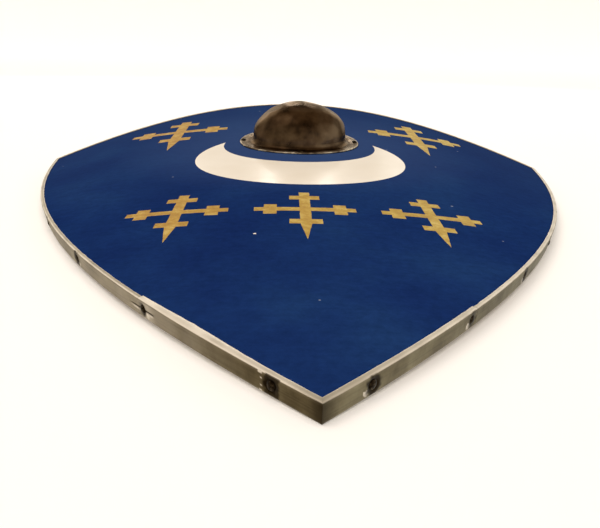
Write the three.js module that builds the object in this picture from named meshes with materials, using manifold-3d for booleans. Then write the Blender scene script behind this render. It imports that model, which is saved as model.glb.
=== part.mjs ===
// Heater shield with a domed boss, lying face up on its tip and side edges.
// The curved board is bound in folded steel strips and held by a grip bar across a hand hole.
// Sizes are in millimetres. "across" and "along" are measured over the curved face, along from the
// tip, and "out" is the height above the painted face.

import * as THREE from "three";
import * as BufferGeometryUtils from "three/addons/utils/BufferGeometryUtils.js";
import Module from "manifold-3d";

const wasm = await Module();
wasm.setup();

// Outline of the shield over the outside of its steel binding
const shieldLength = 857;
const cornerHeight = 633;
const halfWidth = 329.5;
const tipHalfAngle = THREE.MathUtils.degToRad(46.8);
const faceRadius = 1235;

// Board and general fit
const boardThickness = 9;
const clearance = 0.3;

// Steel binding: a U-shaped channel folded over the edge of the board
const steelThickness = 1.2;
const lowerFlangeWidth = 5;
const upperFlangeWidth = 4.2;
const jointPastNail = 6;

// Rows of nails through the binding, evenly spaced from the first to the last. First is measured
// along the edge from the tip, or from the crown of the top edge, and last from the upper corner.
const leftNails = { count: 6, first: 35, last: 72 };
const rightNails = { count: 7, first: 38.5, last: 39 };
const topNails = { count: 3, first: 62, last: 72 };
const nailShankRadius = 1.2;
const nailHeadRadius = 3.4;
const nailHeadHeight = 1.8;
const nailDepth = 19;

// Boss: a raised dome on a round flange, all of one steel sheet
const bossAlong = 579;
const bossSheet = 1.6;
const bossFlangeRadius = 75;
const domeRadius = 57.5;
const domeHeight = 41;
const domeFullness = 2.35;
const bossFillet = 6;

// Hand hole in the board behind the boss
const handHoleRadius = 51;

// Rivets of the boss flange
const rivetCircleRadius = 70;
const rivetShankRadius = 1.6;
const rivetHeadRadius = 3.4;
const rivetHeadHeight = 1.8;

// Grip bar across the hand hole
const gripOverhang = 11;
const gripMiddleWidth = 30;
const gripEndWidth = 24;
const gripDepth = 16;
const gripEdgeRound = 3;

// Fineness of the curves
const sideSteps = 30;
const domeSteps = 9;
const filletSteps = 3;
const bossSides = 40;
const rivetSides = 12;
const nailSides = 8;
const gripSteps = 8;

// Values that follow from the sizes above
const edgeInset = steelThickness + clearance;
const channelFront = clearance + steelThickness;
const channelBack = -boardThickness - clearance - steelThickness;
const channelMiddle = (channelFront + channelBack) / 2;
const topDrop = shieldLength - cornerHeight;

// The side is one arc from the tip to the upper corner
const chordAngle = Math.atan2(halfWidth, cornerHeight);
const chordLength = Math.hypot(halfWidth, cornerHeight);
const sideTurn = 2 * (tipHalfAngle - chordAngle);
const sideRadius = chordLength / (2 * Math.sin(sideTurn / 2));
const sideRun = sideRadius * sideTurn;

// A place on the right side, by its distance from the tip measured along the edge
function sidePlace(run) {
  const angle = tipHalfAngle - run / sideRadius;
  return {
    across: sideRadius * (Math.cos(angle) - Math.cos(tipHalfAngle)),
    along: sideRadius * (Math.sin(tipHalfAngle) - Math.sin(angle)),
    onward: { across: Math.sin(angle), along: Math.cos(angle) },
    outward: { across: Math.cos(angle), along: -Math.sin(angle) },
  };
}

// A place on the domed top edge, which is a parabola from corner to corner
function topPlace(across) {
  const slope = (2 * topDrop * across) / halfWidth ** 2;
  const stretch = Math.hypot(1, slope);
  return {
    across,
    along: shieldLength - topDrop * (across / halfWidth) ** 2,
    onward: { across: -1 / stretch, along: slope / stretch },
    outward: { across: slope / stretch, along: 1 / stretch },
  };
}

function mirrored(place) {
  const flip = (vector) => ({ across: -vector.across, along: vector.along });
  return { across: -place.across, along: place.along, onward: flip(place.onward), outward: flip(place.outward) };
}

// Wraps a flat place round the cylinder that the face follows
function bend(across, along, out) {
  const angle = across / faceRadius;
  const reach = faceRadius + out;
  return new THREE.Vector3(reach * Math.sin(angle), along, reach * Math.cos(angle) - faceRadius);
}

// One profile point at a place on the edge: slant mitres the end, shift pulls it back
function edgePoint(place, [outward, out], slant = 0, shift = 0) {
  const slide = outward * slant + shift;
  return bend(
    place.across + outward * place.outward.across + slide * place.onward.across,
    place.along + outward * place.outward.along + slide * place.onward.along,
    out,
  );
}

// Turns of the edge at the tip and at the upper corners, where the binding is mitred
const tipSlant = 1 / Math.tan(tipHalfAngle);
const cornerSide = sidePlace(sideRun).onward;
const cornerTop = topPlace(halfWidth).onward;
const cornerTurn = Math.acos(cornerSide.across * cornerTop.across + cornerSide.along * cornerTop.along);
const cornerSlant = Math.tan(cornerTurn / 2);

const sideRuns = Array.from({ length: sideSteps + 1 }, (_, step) => (sideRun * step) / sideSteps);

// Closed body from rings of points: walls between the rings and a cap at each end
function sweptBody(rings) {
  const count = rings[0].length;
  const points = rings.flat();
  const triangles = [];
  for (let ring = 0; ring + 1 < rings.length; ring += 1) {
    for (let side = 0; side < count; side += 1) {
      const a = ring * count + side;
      const b = ring * count + ((side + 1) % count);
      triangles.push([a, b, b + count], [a, b + count, a + count]);
    }
  }
  return { points, triangles, count, rings: rings.length };
}

function closedGeometry({ points, triangles }) {
  const geometry = new THREE.BufferGeometry();
  geometry.setAttribute("position", new THREE.BufferAttribute(new Float32Array(points.flatMap((p) => p.toArray())), 3));
  geometry.setIndex(triangles.flat());
  return facesOut(withoutSlivers(BufferGeometryUtils.mergeVertices(geometry, 0.001)));
}

// Drops the triangles that lost an edge where a ring narrows to a line
function withoutSlivers(geometry) {
  const index = Array.from(geometry.index.array);
  const kept = [];
  for (let i = 0; i < index.length; i += 3) {
    const [a, b, c] = index.slice(i, i + 3);
    if (a !== b && b !== c && c !== a) {
      kept.push(a, b, c);
    }
  }
  geometry.setIndex(kept);
  return geometry;
}

function signedVolume(geometry) {
  const position = geometry.attributes.position;
  const index = geometry.index.array;
  const [a, b, c] = [new THREE.Vector3(), new THREE.Vector3(), new THREE.Vector3()];
  let total = 0;
  for (let i = 0; i < index.length; i += 3) {
    a.fromBufferAttribute(position, index[i]);
    b.fromBufferAttribute(position, index[i + 1]);
    c.fromBufferAttribute(position, index[i + 2]);
    total += a.dot(b.cross(c)) / 6;
  }
  return total;
}

function facesOut(geometry) {
  if (signedVolume(geometry) < 0) {
    geometry.setIndex(Array.from(geometry.index.array).reverse());
  }
  return geometry;
}

// Solids for cutting
function toSolid(geometry) {
  const bare = geometry.clone();
  bare.deleteAttribute("normal");
  bare.deleteAttribute("uv");
  const merged = BufferGeometryUtils.mergeVertices(bare, 0.0001);
  return new wasm.Manifold(
    new wasm.Mesh({
      numProp: 3,
      vertProperties: Float32Array.from(merged.attributes.position.array),
      triVerts: Uint32Array.from(merged.index.array),
    }),
  );
}

function toGeometry(solid) {
  const mesh = solid.getMesh();
  const geometry = new THREE.BufferGeometry();
  geometry.setAttribute("position", new THREE.BufferAttribute(Float32Array.from(mesh.vertProperties), 3));
  geometry.setIndex(Array.from(mesh.triVerts));
  return geometry;
}

function cut(geometry, cutters) {
  const solid = cutters.reduce((rest, cutter) => rest.subtract(toSolid(cutter)), toSolid(geometry));
  return toGeometry(solid);
}

// A round bar about the line from one point to another, for cutting holes
function roundBar(from, to, radius, sides) {
  const line = new THREE.Vector3().subVectors(to, from);
  const bar = new THREE.CylinderGeometry(radius, radius, line.length(), sides);
  const turn = new THREE.Quaternion().setFromUnitVectors(new THREE.Vector3(0, 1, 0), line.clone().normalize());
  bar.applyQuaternion(turn);
  const middle = new THREE.Vector3().addVectors(from, to).multiplyScalar(0.5);
  return bar.translate(middle.x, middle.y, middle.z);
}

// Nails: each stands at mid height of the binding and points into the board
function nailRuns({ count, first, last }, end) {
  const spacing = (end - first - last) / (count - 1);
  return Array.from({ length: count }, (_, step) => first + step * spacing);
}

// Length of the arched top edge from the crown to a place, and the place at a length
const topBend = (2 * topDrop) / halfWidth ** 2;

function topRun(across) {
  return (across * Math.hypot(1, topBend * across) + Math.asinh(topBend * across) / topBend) / 2;
}

function topAcross(run) {
  let across = run;
  for (let pass = 0; pass < 20; pass += 1) {
    across -= (topRun(across) - run) / Math.hypot(1, topBend * across);
  }
  return across;
}

const leftRuns = nailRuns(leftNails, sideRun);
const rightRuns = nailRuns(rightNails, sideRun);
const topRight = nailRuns(topNails, topRun(halfWidth)).map((run) => topPlace(topAcross(run)));

const nails = [
  ...leftRuns.map((run, i) => ({ name: `nail_left_${i + 1}`, place: mirrored(sidePlace(run)) })),
  ...rightRuns.map((run, i) => ({ name: `nail_right_${i + 1}`, place: sidePlace(run) })),
  ...topRight.map((place, i) => ({ name: `nail_top_right_${i + 1}`, place })),
  ...topRight.map((place, i) => ({ name: `nail_top_left_${i + 1}`, place: mirrored(place) })),
];
for (const nail of nails) {
  nail.seat = edgePoint(nail.place, [clearance, channelMiddle]);
  nail.foot = edgePoint(nail.place, [-nailDepth, channelMiddle]);
  nail.line = new THREE.Vector3().subVectors(nail.seat, nail.foot).normalize();
}

function nailGeometry() {
  const profile = [
    new THREE.Vector2(0, -nailDepth),
    new THREE.Vector2(nailShankRadius, -nailDepth + 3 * nailShankRadius),
    new THREE.Vector2(nailShankRadius, 0),
    new THREE.Vector2(nailHeadRadius, 0),
    new THREE.Vector2(0.85 * nailHeadRadius, 0.6 * nailHeadHeight),
    new THREE.Vector2(0.45 * nailHeadRadius, 0.92 * nailHeadHeight),
    new THREE.Vector2(0, nailHeadHeight),
  ];
  return new THREE.LatheGeometry(profile, nailSides);
}

const nailHoles = nails.map(({ seat, foot, line }) =>
  roundBar(
    foot.clone().addScaledVector(line, -2 * clearance),
    seat.clone().addScaledVector(line, nailHeadHeight),
    nailShankRadius + clearance,
    nailSides,
  ),
);

// Rivets: in front of, behind and on both sides of the dome, the side pair through the grip
const gripLength = 2 * (rivetCircleRadius + gripOverhang);
const gripFront = bend(gripLength / 2, 0, -boardThickness).z - clearance;
const gripBack = gripFront - gripDepth;

const rivets = [
  { name: "boss_rivet_front", across: 0, along: bossAlong - rivetCircleRadius, throughGrip: false },
  { name: "boss_rivet_rear", across: 0, along: bossAlong + rivetCircleRadius, throughGrip: false },
  { name: "boss_rivet_left", across: -rivetCircleRadius, along: bossAlong, throughGrip: true },
  { name: "boss_rivet_right", across: rivetCircleRadius, along: bossAlong, throughGrip: true },
];
for (const rivet of rivets) {
  const lean = (rivetHeadRadius * Math.abs(rivet.across)) / faceRadius;
  const flangeTop = bend(rivet.across, 0, clearance + bossSheet);
  rivet.x = flangeTop.x;
  rivet.frontSeat = flangeTop.z + lean + clearance;
  rivet.backSeat = rivet.throughGrip ? gripBack - clearance : bend(rivet.across, 0, -boardThickness).z - clearance;
}

function rivetGeometry({ frontSeat, backSeat }) {
  const profile = [
    new THREE.Vector2(0, backSeat - rivetHeadHeight),
    new THREE.Vector2(0.7 * rivetHeadRadius, backSeat - 0.75 * rivetHeadHeight),
    new THREE.Vector2(rivetHeadRadius, backSeat),
    new THREE.Vector2(rivetShankRadius, backSeat),
    new THREE.Vector2(rivetShankRadius, frontSeat),
    new THREE.Vector2(rivetHeadRadius, frontSeat),
    new THREE.Vector2(0.8 * rivetHeadRadius, frontSeat + 0.65 * rivetHeadHeight),
    new THREE.Vector2(0.4 * rivetHeadRadius, frontSeat + 0.94 * rivetHeadHeight),
    new THREE.Vector2(0, frontSeat + rivetHeadHeight),
  ];
  return new THREE.LatheGeometry(profile, rivetSides).rotateX(Math.PI / 2);
}

const rivetHoles = rivets.map(({ x, along, frontSeat, backSeat }) =>
  roundBar(
    new THREE.Vector3(x, along, backSeat - rivetHeadHeight),
    new THREE.Vector3(x, along, frontSeat + rivetHeadHeight),
    rivetShankRadius + clearance,
    rivetSides,
  ),
);

// Board: strips that run the length of the shield, so that each lies flat along the bend
function boardGeometry() {
  const right = sideRuns.map((run, step) => {
    const low = sidePlace(run);
    const high = topPlace(Math.min(low.across, halfWidth));
    const lowSlant = step === 0 ? -tipSlant : step === sideSteps ? cornerSlant : 0;
    const highSlant = step === sideSteps ? -cornerSlant : 0;
    return { low, high, lowSlant, highSlant };
  });
  const ring = ({ low, high, lowSlant, highSlant }, place) => [
    edgePoint(place(low), [-edgeInset, 0], lowSlant),
    edgePoint(place(high), [-edgeInset, 0], highSlant),
    edgePoint(place(high), [-edgeInset, -boardThickness], highSlant),
    edgePoint(place(low), [-edgeInset, -boardThickness], lowSlant),
  ];
  const same = (place) => place;
  const leftRings = right.slice(1).reverse().map((column) => ring(column, mirrored));
  const body = sweptBody([...leftRings, ...right.map((column) => ring(column, same))]);
  const handHole = roundBar(
    new THREE.Vector3(0, bossAlong, -3 * boardThickness),
    new THREE.Vector3(0, bossAlong, 2 * boardThickness),
    handHoleRadius,
    bossSides,
  );
  return cut(closedGeometry(body), [handHole, ...rivetHoles, ...nailHoles]);
}

// Section of the folded channel: distance outward from the edge line, and height above the face
function channelSection(flangeWidth) {
  return [
    [0, channelFront],
    [-flangeWidth, channelFront],
    [-flangeWidth, clearance],
    [-steelThickness, clearance],
    [-steelThickness, -boardThickness - clearance],
    [-flangeWidth, -boardThickness - clearance],
    [-flangeWidth, channelBack],
    [0, channelBack],
  ];
}

function channelStrip(stations, flangeWidth) {
  const section = channelSection(flangeWidth);
  const rings = stations.map(({ place, slant, shift }) =>
    section.map((point) => edgePoint(place, point, slant, shift)),
  );
  const body = sweptBody(rings);
  const contour = section.map(([outward, out]) => new THREE.Vector2(outward, out));
  const cap = THREE.ShapeUtils.triangulateShape(contour, []);
  const last = (body.rings - 1) * body.count;
  const capTurns = THREE.ShapeUtils.isClockWise(contour) ? 1 : -1;
  for (const [a, b, c] of cap) {
    const startFace = capTurns > 0 ? [a, b, c] : [a, c, b];
    const endFace = capTurns > 0 ? [a, c, b] : [a, b, c];
    body.triangles.push(startFace, endFace.map((corner) => last + corner));
  }
  return closedGeometry(body);
}

function sideStations(from, to, startSlant, endSlant, startShift, endShift) {
  const room = clearance + lowerFlangeWidth;
  const between = sideRuns.filter((run) => run > from + room && run < to - room);
  return [
    { place: sidePlace(from), slant: startSlant, shift: startShift },
    ...between.map((run) => ({ place: sidePlace(run), slant: 0, shift: 0 })),
    { place: sidePlace(to), slant: endSlant, shift: endShift },
  ];
}

const tipGap = clearance / (2 * Math.sin(tipHalfAngle));
const cornerGap = clearance / (2 * Math.cos(cornerTurn / 2));

function lowerStrip(joint) {
  return channelStrip(sideStations(0, joint, -tipSlant, 0, tipGap, -clearance / 2), lowerFlangeWidth);
}

function upperStrip(joint) {
  return channelStrip(sideStations(joint, sideRun, 0, cornerSlant, clearance / 2, -cornerGap), upperFlangeWidth);
}

function topStrip() {
  const acrosses = sideRuns.map((run) => Math.min(sidePlace(run).across, halfWidth));
  const left = acrosses.slice(1).map((across) => -across);
  const stations = [...acrosses.reverse(), ...left].map((across, step, all) => {
    const start = step === 0;
    const end = step === all.length - 1;
    const slant = start ? -cornerSlant : end ? cornerSlant : 0;
    const shift = start ? cornerGap : end ? -cornerGap : 0;
    return { place: topPlace(across), slant, shift };
  });
  return channelStrip(stations, upperFlangeWidth);
}

const leftJoint = leftRuns[1] + jointPastNail;
const rightJoint = rightRuns[1] + jointPastNail;

function mirroredGeometry(geometry) {
  return facesOut(geometry.clone().scale(-1, 1, 1));
}

// Boss: the dome's section swells from the flange through a fillet, and the inside follows it
function bossProfile() {
  const flangeBottom = clearance;
  const flangeTop = clearance + bossSheet;
  const domeBase = flangeTop + bossFillet;
  const dome = (radius, height, part) => {
    const angle = (Math.PI / 2) * part;
    return new THREE.Vector2(radius * Math.sin(angle), domeBase + height * Math.cos(angle) ** (2 / domeFullness));
  };
  const fillet = (radius, part) => {
    const angle = (Math.PI / 2) * part;
    return new THREE.Vector2(
      domeRadius + bossFillet - radius * Math.cos(angle),
      domeBase - radius * Math.sin(angle),
    );
  };
  const outside = [];
  const inside = [];
  for (let step = 0; step <= domeSteps; step += 1) {
    outside.push(dome(domeRadius, domeHeight, step / domeSteps));
    inside.push(dome(domeRadius - bossSheet, domeHeight - bossSheet, step / domeSteps));
  }
  for (let step = 1; step <= filletSteps; step += 1) {
    outside.push(fillet(bossFillet, step / filletSteps));
    inside.push(fillet(bossFillet + bossSheet, step / filletSteps));
  }
  outside[0].x = 0;
  inside[0].x = 0;
  const rim = [new THREE.Vector2(bossFlangeRadius, flangeTop), new THREE.Vector2(bossFlangeRadius, flangeBottom)];
  return [...outside, ...rim, ...inside.reverse()];
}

function bossGeometry() {
  const lathe = new THREE.LatheGeometry(bossProfile(), bossSides).rotateX(Math.PI / 2);
  const position = lathe.attributes.position;
  for (let i = 0; i < position.count; i += 1) {
    const bent = bend(position.getX(i), bossAlong + position.getY(i), position.getZ(i));
    position.setXYZ(i, bent.x, bent.y, bent.z);
  }
  lathe.deleteAttribute("normal");
  lathe.deleteAttribute("uv");
  const shell = facesOut(withoutSlivers(BufferGeometryUtils.mergeVertices(lathe, 0.001)));
  return cut(shell, rivetHoles);
}

// Grip: a bar that is fuller in the middle, with rounded edges and a flat back
function gripGeometry() {
  const half = gripLength / 2 - gripEdgeRound;
  const edge = [];
  for (let step = 0; step <= gripSteps; step += 1) {
    const x = half * (1 - (2 * step) / gripSteps);
    const swell = Math.cos((Math.PI * x) / gripLength) ** 2;
    const width = gripEndWidth + (gripMiddleWidth - gripEndWidth) * swell;
    edge.push(new THREE.Vector2(x, width / 2 - gripEdgeRound));
  }
  const back = edge.map((point) => new THREE.Vector2(-point.x, -point.y));
  const bar = new THREE.ExtrudeGeometry(new THREE.Shape([...edge, ...back]), {
    depth: gripDepth - 2 * gripEdgeRound,
    bevelEnabled: true,
    bevelThickness: gripEdgeRound,
    bevelSize: gripEdgeRound,
    bevelSegments: 2,
  });
  bar.translate(0, bossAlong, gripBack + gripEdgeRound);
  return cut(bar, rivetHoles);
}

// Finishes
const bluePaint = new THREE.MeshStandardMaterial({ color: 0x1f3064, roughness: 0.5, metalness: 0 });
const bindingSteel = new THREE.MeshStandardMaterial({ color: 0xa89878, roughness: 0.4, metalness: 1 });
const bossSteel = new THREE.MeshStandardMaterial({ color: 0x5a4a38, roughness: 0.35, metalness: 1 });
const fixingSteel = new THREE.MeshStandardMaterial({ color: 0x40382c, roughness: 0.5, metalness: 1 });
const gripWood = new THREE.MeshStandardMaterial({ color: 0x8a6a45, roughness: 0.6, metalness: 0 });

const shield = new THREE.Group();

function addPiece(name, geometry, material) {
  const piece = new THREE.Mesh(geometry, material);
  piece.name = name;
  shield.add(piece);
  return piece;
}

addPiece("board", boardGeometry(), bluePaint);
addPiece("binding_lower_right", cut(lowerStrip(rightJoint), nailHoles), bindingSteel);
addPiece("binding_lower_left", cut(mirroredGeometry(lowerStrip(leftJoint)), nailHoles), bindingSteel);
addPiece("binding_upper_right", cut(upperStrip(rightJoint), nailHoles), bindingSteel);
addPiece("binding_upper_left", cut(mirroredGeometry(upperStrip(leftJoint)), nailHoles), bindingSteel);
addPiece("binding_top", cut(topStrip(), nailHoles), bindingSteel);
addPiece("boss", bossGeometry(), bossSteel);
addPiece("grip", gripGeometry(), gripWood);

for (const rivet of rivets) {
  addPiece(rivet.name, rivetGeometry(rivet), fixingSteel).position.set(rivet.x, rivet.along, 0);
}

for (const { name, seat, line } of nails) {
  const nail = addPiece(name, nailGeometry(), fixingSteel);
  nail.position.copy(seat);
  nail.quaternion.setFromUnitVectors(new THREE.Vector3(0, 1, 0), line);
}

// Lying at rest: the tip and the lowest places of both sides touch the ground
const tipUnderside = edgePoint(sidePlace(0), [0, channelBack]);
const leans = sideRuns.slice(1).map((run) => {
  const under = edgePoint(sidePlace(run), [0, channelBack]);
  return Math.atan2(tipUnderside.z - under.z, under.y - tipUnderside.y);
});
shield.rotation.x = Math.max(...leans);

const part = new THREE.Group();
part.add(shield);
part.updateMatrixWorld(true);
const extent = new THREE.Box3().setFromObject(part, true);
shield.position.set(0, -(extent.min.y + extent.max.y) / 2, -extent.min.z);

export default part;
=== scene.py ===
import math
from functools import partial
import bpy
import numpy as np
from mathutils import Matrix, Vector, noise
from mathutils.geometry import delaunay_2d_cdt


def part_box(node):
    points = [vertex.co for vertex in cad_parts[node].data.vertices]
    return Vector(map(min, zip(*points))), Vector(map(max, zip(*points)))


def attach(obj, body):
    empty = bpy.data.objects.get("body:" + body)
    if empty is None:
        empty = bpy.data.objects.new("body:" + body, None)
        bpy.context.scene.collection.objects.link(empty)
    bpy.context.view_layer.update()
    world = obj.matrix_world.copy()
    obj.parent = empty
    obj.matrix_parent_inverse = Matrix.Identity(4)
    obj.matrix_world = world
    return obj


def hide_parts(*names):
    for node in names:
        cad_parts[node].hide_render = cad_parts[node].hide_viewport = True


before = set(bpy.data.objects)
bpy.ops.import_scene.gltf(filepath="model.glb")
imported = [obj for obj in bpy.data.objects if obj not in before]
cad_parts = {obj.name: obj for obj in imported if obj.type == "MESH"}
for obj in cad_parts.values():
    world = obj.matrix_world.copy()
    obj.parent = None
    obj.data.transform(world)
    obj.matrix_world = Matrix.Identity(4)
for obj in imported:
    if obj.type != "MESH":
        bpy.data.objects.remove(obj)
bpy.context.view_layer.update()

# The shield lies face up, tip towards the camera. Sizes are in millimetres, measured over the
# curved face: "across" from the middle line, "along" from the tip, "out" above the paint.
mm = 0.001

shieldSizes = {
    "length": 857,
    "cornerHeight": 633,
    "halfWidth": 329.5,
    "tipHalfAngle": math.radians(46.8),
    "faceRadius": 1235,
    "boardThickness": 9,
    "steelThickness": 1.2,
    "clearance": 0.3,
    "bossAlong": 579,
}

tipHalfAngle = shieldSizes["tipHalfAngle"]
halfWidth = shieldSizes["halfWidth"]
faceRadius = shieldSizes["faceRadius"]
boardThickness = shieldSizes["boardThickness"]
steelThickness = shieldSizes["steelThickness"]
clearance = shieldSizes["clearance"]
bossAlong = shieldSizes["bossAlong"]
topDrop = shieldSizes["length"] - shieldSizes["cornerHeight"]
chordAngle = math.atan2(halfWidth, shieldSizes["cornerHeight"])
sideTurn = 2 * (tipHalfAngle - chordAngle)
sideRadius = math.hypot(halfWidth, shieldSizes["cornerHeight"]) / (2 * math.sin(sideTurn / 2))
sideRun = sideRadius * sideTurn
channelFront = clearance + steelThickness
channelBack = -boardThickness - channelFront
channelMiddle = (channelFront + channelBack) / 2
edgeInset = channelFront
topBend = 2 * topDrop / halfWidth ** 2


# A place on an edge: across, along, the way onward and the way outward
def sidePlace(run):
    angle = tipHalfAngle - run / sideRadius
    across = sideRadius * (math.cos(angle) - math.cos(tipHalfAngle))
    along = sideRadius * (math.sin(tipHalfAngle) - math.sin(angle))
    return (across, along, (math.sin(angle), math.cos(angle)), (math.cos(angle), -math.sin(angle)))


def leftPlace(run):
    across, along, onward, outward = sidePlace(run)
    return (-across, along, (-onward[0], onward[1]), (-outward[0], outward[1]))


def topPlaceAt(across):
    slope = topBend * across
    stretch = math.hypot(1, slope)
    along = shieldSizes["length"] - topDrop * (across / halfWidth) ** 2
    return (across, along, (-1 / stretch, slope / stretch), (slope / stretch, 1 / stretch))


def topRun(across):
    return (across * math.hypot(1, topBend * across) + math.asinh(topBend * across) / topBend) / 2


# Runs along the top count from the crown, left of it below zero
def topPlace(run):
    across = run
    for step in range(20):
        across -= (topRun(across) - run) / math.hypot(1, topBend * across)
    return topPlaceAt(across)


cornerOnward, cornerTop = sidePlace(sideRun)[2], topPlaceAt(halfWidth)[2]
cornerTurn = math.acos(cornerOnward[0] * cornerTop[0] + cornerOnward[1] * cornerTop[1])
cornerSlant = math.tan(cornerTurn / 2)
tipSlant = 1 / math.tan(tipHalfAngle)


# Wraps flat points (across, along, out) round the cylinder of the face
def bend(points):
    points = np.asarray(points, dtype=float)
    angle = points[:, 0] / faceRadius
    reach = faceRadius + points[:, 2]
    return np.column_stack((reach * np.sin(angle), points[:, 1], reach * np.cos(angle) - faceRadius))


def edgePoint(place, outward, out, slant=0.0, shift=0.0):
    across, along, onward, away = place
    slide = outward * slant + shift
    return (across + outward * away[0] + slide * onward[0], along + outward * away[1] + slide * onward[1], out)


# The shield leans on its tip and the lowest places of its sides, as the frame has it
underside = bend([edgePoint(sidePlace(sideRun * i / 30), 0, channelBack) for i in range(31)])
drops = underside[0, 2] - underside[1:, 2]
lean = float(np.max(np.arctan2(drops, underside[1:, 1] - underside[0, 1])))
leanTurn = np.array(Matrix.Rotation(lean, 3, "X"))
boardTip = np.array([0, edgeInset / math.sin(tipHalfAngle), 0]) @ leanTurn.T
lowest = (underside @ leanTurn.T)[:, 2].min()
shieldOffset = np.array([0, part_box("board")[0][1] / mm - boardTip[1], -lowest])


# Bent shield millimetres to the frame's metres
def toWorld(points):
    return (np.asarray(points, dtype=float) @ leanTurn.T + shieldOffset) * mm


def onShield(points):
    return toWorld(bend(points))


def noiseAt(x, y=0.0, z=0.0):
    return noise.noise(Vector((x, y, z)))


# Above zero where the faces point outwards
def signedVolume(vertices, faces):
    middle = vertices.mean(axis=0)
    corners = [vertices[list(face)] - middle for face in faces]
    return sum(np.dot(c[0], np.cross(c[1:-1], c[2:]).sum(axis=0)) for c in corners)


# Faces between rings of points, each ring with the same count
def ringFaces(rings, count, first=0):
    faces = []
    for start in range(first, first + (rings - 1) * count, count):
        for side in range(count):
            after = (side + 1) % count
            faces.append((start + side, start + after, start + count + after, start + count + side))
    return faces


def addThing(name, data):
    thing = bpy.data.objects.new(name, data)
    bpy.context.scene.collection.objects.link(thing)
    return thing


# A mesh of its own, faces outwards; marks are material numbers, traits are point attributes
def makeMesh(name, vertices, faces, materials, marks=None, traits=None, closed=True):
    vertices = np.asarray(vertices, dtype=float)
    faces = [tuple(int(i) for i in face) for face in faces]
    if closed and signedVolume(vertices, faces) < 0:
        faces = [face[::-1] for face in faces]
    mesh = bpy.data.meshes.new(name)
    mesh.from_pydata(vertices.tolist(), [], faces)
    for material in materials:
        mesh.materials.append(material)
    if marks is not None:
        mesh.polygons.foreach_set("material_index", np.asarray(marks, dtype=np.int32))
    for trait, values in (traits or {}).items():
        data = mesh.attributes.new(trait, "FLOAT", "POINT").data
        data.foreach_set("value", np.asarray(values, dtype=np.float32))
    mesh.polygons.foreach_set("use_smooth", [True] * len(mesh.polygons))
    return addThing(name, mesh)


# A finished piece stands in for its plain nodes; edges that turn more than the angle stay hard
def finishPiece(piece, slot, hardAngle, *nodes):
    piece.data.set_sharp_from_angle(angle=math.radians(hardAngle))
    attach(piece, "root")
    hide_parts(*nodes)
    print(piece.name, "made:", len(piece.data.polygons), "faces")


# Materials

# sRGB hex, such as 1f3064, to linear colour
def linear(hexColor):
    values = [int(hexColor[i:i + 2], 16) / 255 for i in (0, 2, 4)]
    return tuple(v / 12.92 if v <= 0.04045 else ((v + 0.055) / 1.055) ** 2.4 for v in values) + (1.0,)


colors = {name: linear(hexColor) for name, hexColor in {
    # The lighter blue round the boss and the greyer blue towards the top are painted light
    "blueDeep": "13285a", "blue": "162e60", "blueLight": "1a3565", "bluePaintedLight": "3e5482",
    "blueSheen": "2c3f66", "primer": "aeb6c4", "whiteWarm": "e8dfd0", "white": "efe8dc",
    "goldDeep": "80581a", "gold": "ad8a2c", "goldPale": "d2c070", "goldRuddy": "a87428",
    "goldYellow": "bda84e",
    # The bright steel paints worn steel and painted highlights; the dark grime colour paints dirt and painted
    # shade
    "steelDull": "766a50", "steel": "988c6e", "steelClean": "b2a787", "steelWornAndLit": "eee5d6", "grimeAndShade": "352a19",
    "brownDeep": "413429", "brown": "65523f", "brownLight": "7d6953", "brownSheen": "e6d9cb",
    # Bare steel for the boss's worn rim and its painted highlights
    "bareAndLitSteel": "dcd0b8",
    "birchDeep": "9c7649", "birch": "bd9866", "birchLight": "cfae7e",
    "plyLight": "c9a877", "plyGlue": "5d4024", "plyDark": "96703f",
    "ironDeep": "241d16", "iron": "453a2d", "ironRubbed": "7d705c",
    "ashDeep": "6b4a28", "ash": "a67f4e", "ashLight": "bd9863",
    "paper": "f9f8f7", "wall": "f2eee6", "ceiling": "7c684f",
    "roomFront": "a89c88", "roomNear": "a2978a", "roomMiddle": "bcb4a5", "roomFar": "ccc9c1",
    "sun": "fff9f2", "warmLamp": "fff1e2", "leftDaylight": "fff6ea", "rightDaylight": "fcfaf0",
    "streak": "fffaf2",
}.items()}


# Inputs are set, or linked where they are a socket or a node, whose first output counts then.
# A ramp's stops go from grey value to grey value or from colour to colour.
def addNode(tree, kind, inputs=None, stops=None, **settings):
    whole = kind.startswith(("Geometry", "Function", "NodeGroup"))
    node = tree.nodes.new(kind if whole else "ShaderNode" + kind)
    for key, value in settings.items():
        setattr(node, key, value)
    for key, value in (inputs or {}).items():
        if isinstance(value, bpy.types.Node):
            value = next(output for output in value.outputs if output.enabled)
        if isinstance(value, bpy.types.NodeSocket):
            tree.links.new(value, node.inputs[key])
        else:
            node.inputs[key].default_value = value
    if stops:
        elements = node.color_ramp.elements
        elements.remove(elements[0])
        for number, (position, shade) in enumerate(stops):
            element = elements.new(position) if number else elements[0]
            element.position = position
            element.color = colors[shade] if isinstance(shade, str) else (shade, shade, shade, 1.0)
    return node


def newMaterial(name):
    material = bpy.data.materials.new(name)
    material.use_nodes = True
    material.node_tree.nodes.clear()
    return material, partial(addNode, material.node_tree)


# The function it is given lays the nodes. It says what goes into the shader, and which node raises the
# surface, how strongly and how high.
def makeMaterial(name, layNodes):
    material, add = newMaterial(name)
    inputs, raised, strength, height = layNodes(add, add("TexCoord").outputs["Object"])
    bump = add("Bump", {"Height": raised, "Strength": strength, "Distance": height})
    shader = add("BsdfPrincipled", {**inputs, "Normal": bump})
    add("OutputMaterial", {"Surface": shader})
    return material


# Noise scale for lumps of this many millimetres
def lumps(size):
    return 1 / (size * mm)
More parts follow.
